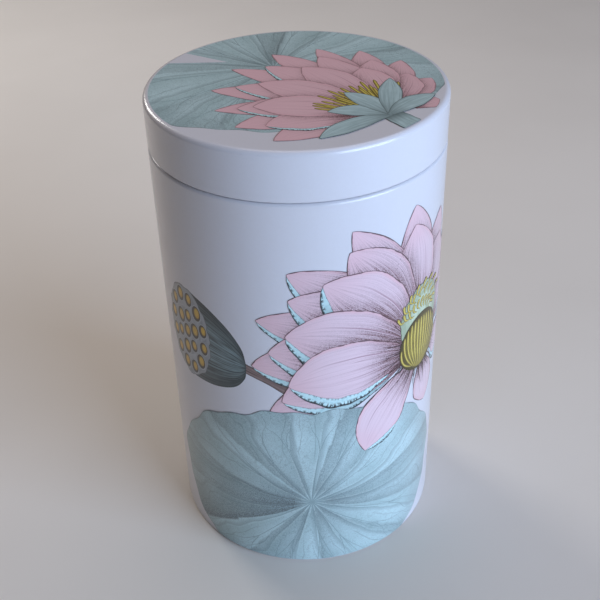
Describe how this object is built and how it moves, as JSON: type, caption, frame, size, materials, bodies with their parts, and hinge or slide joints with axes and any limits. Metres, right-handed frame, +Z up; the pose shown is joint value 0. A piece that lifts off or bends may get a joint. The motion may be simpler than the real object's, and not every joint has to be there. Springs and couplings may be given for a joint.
{
  "type": "tea caddy",
  "caption": "Round upright tinplate caddy with a flush slip lid over an inner sleeve, and a plug lid with a knob inside.",
  "frame": {"origin": "centre of the foot, on the surface that the tin stands on", "axes": "+Z up along the axis of the tin; -Y faces the front of the printed design"},
  "size_m": [0.108, 0.108, 0.187],
  "materials": {
    "printed_wall": "satin lacquer over white print, with a lotus design",
    "printed_lid": "satin lacquer over white print, with a lotus design on top",
    "bare_tinplate": "bright rolled tinplate",
    "turned_metal": "satin turned",
    "sealing_compound": "matte"
  },
  "bodies": {
    "tin": {"body_wall": "printed_wall", "neck_sleeve": "bare_tinplate", "base_plate": "bare_tinplate", "base_seal": "sealing_compound"},
    "plug": {"inner_lid": "bare_tinplate", "inner_lid_knob": "turned_metal", "knob_rivet": "turned_metal"},
    "lid": {"lid_shell": "printed_lid"}
  },
  "joints": [
    {"name": "inner_lid_lift", "type": "slide", "parent": "tin", "child": "plug", "axis": [0, 0, 1], "range_m": [0, 0.05]},
    {"name": "lid_lift", "type": "slide", "parent": "plug", "child": "lid", "axis": [0, 0, 1], "range_m": [0, 0.07]}
  ]
}
